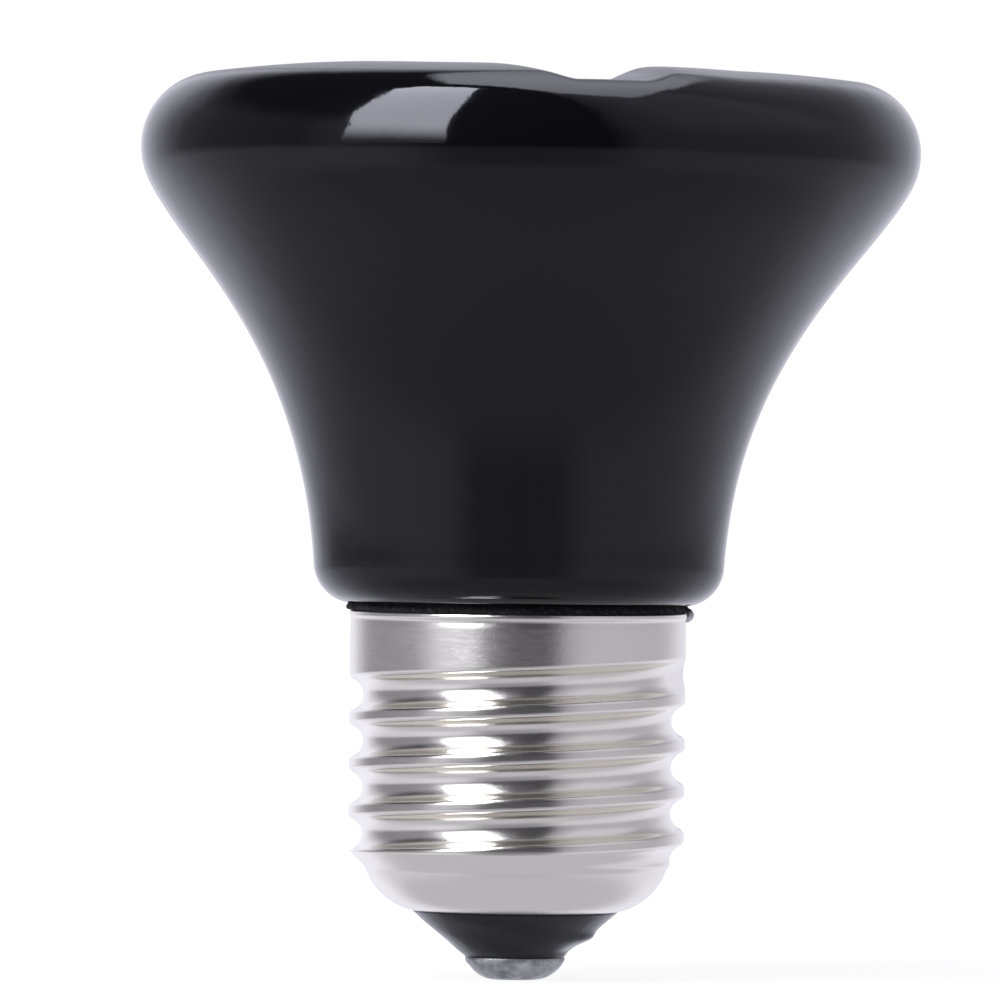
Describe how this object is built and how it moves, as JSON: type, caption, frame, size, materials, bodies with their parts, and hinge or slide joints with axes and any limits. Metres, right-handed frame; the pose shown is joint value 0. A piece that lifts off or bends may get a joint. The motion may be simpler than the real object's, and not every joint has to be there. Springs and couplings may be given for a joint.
{
  "type": "ceramic heat emitter",
  "caption": "Screw-base ceramic heat emitter: hollow glazed bell, notched ring face with a cast-in heating coil, and a rolled screw cap with a glass insulator.",
  "frame": {"origin": "tip of the centre contact's solder, on the emitter's axis", "axes": "+Z along the axis from the centre contact to the emitting face; the notch in the face points mostly towards -Y, a little towards +X"},
  "size_m": [0.0608, 0.0608, 0.0713],
  "materials": {
    "black_glaze": "smooth black ceramic glaze",
    "resistance_wire": "oxidised resistance wire",
    "lead_wire": "drawn nickel wire",
    "woven_sleeve": "woven glass fibre",
    "cement": "dark basing cement",
    "nickel_shell": "bright rolled nickel plate",
    "black_glass": "fused black glass",
    "contact_brass": "stamped contact plate",
    "solder": "dull tin solder"
  },
  "bodies": {
    "root": {"ceramic_body": "black_glaze", "heating_coil": "resistance_wire", "shell_lead": "lead_wire", "centre_lead": "lead_wire", "shell_sleeve": "woven_sleeve", "centre_sleeve": "woven_sleeve", "basing_cement": "cement", "screw_shell": "nickel_shell", "insulator": "black_glass", "centre_contact": "contact_brass", "contact_solder": "solder", "shell_solder": "solder"}
  },
  "joints": []
}
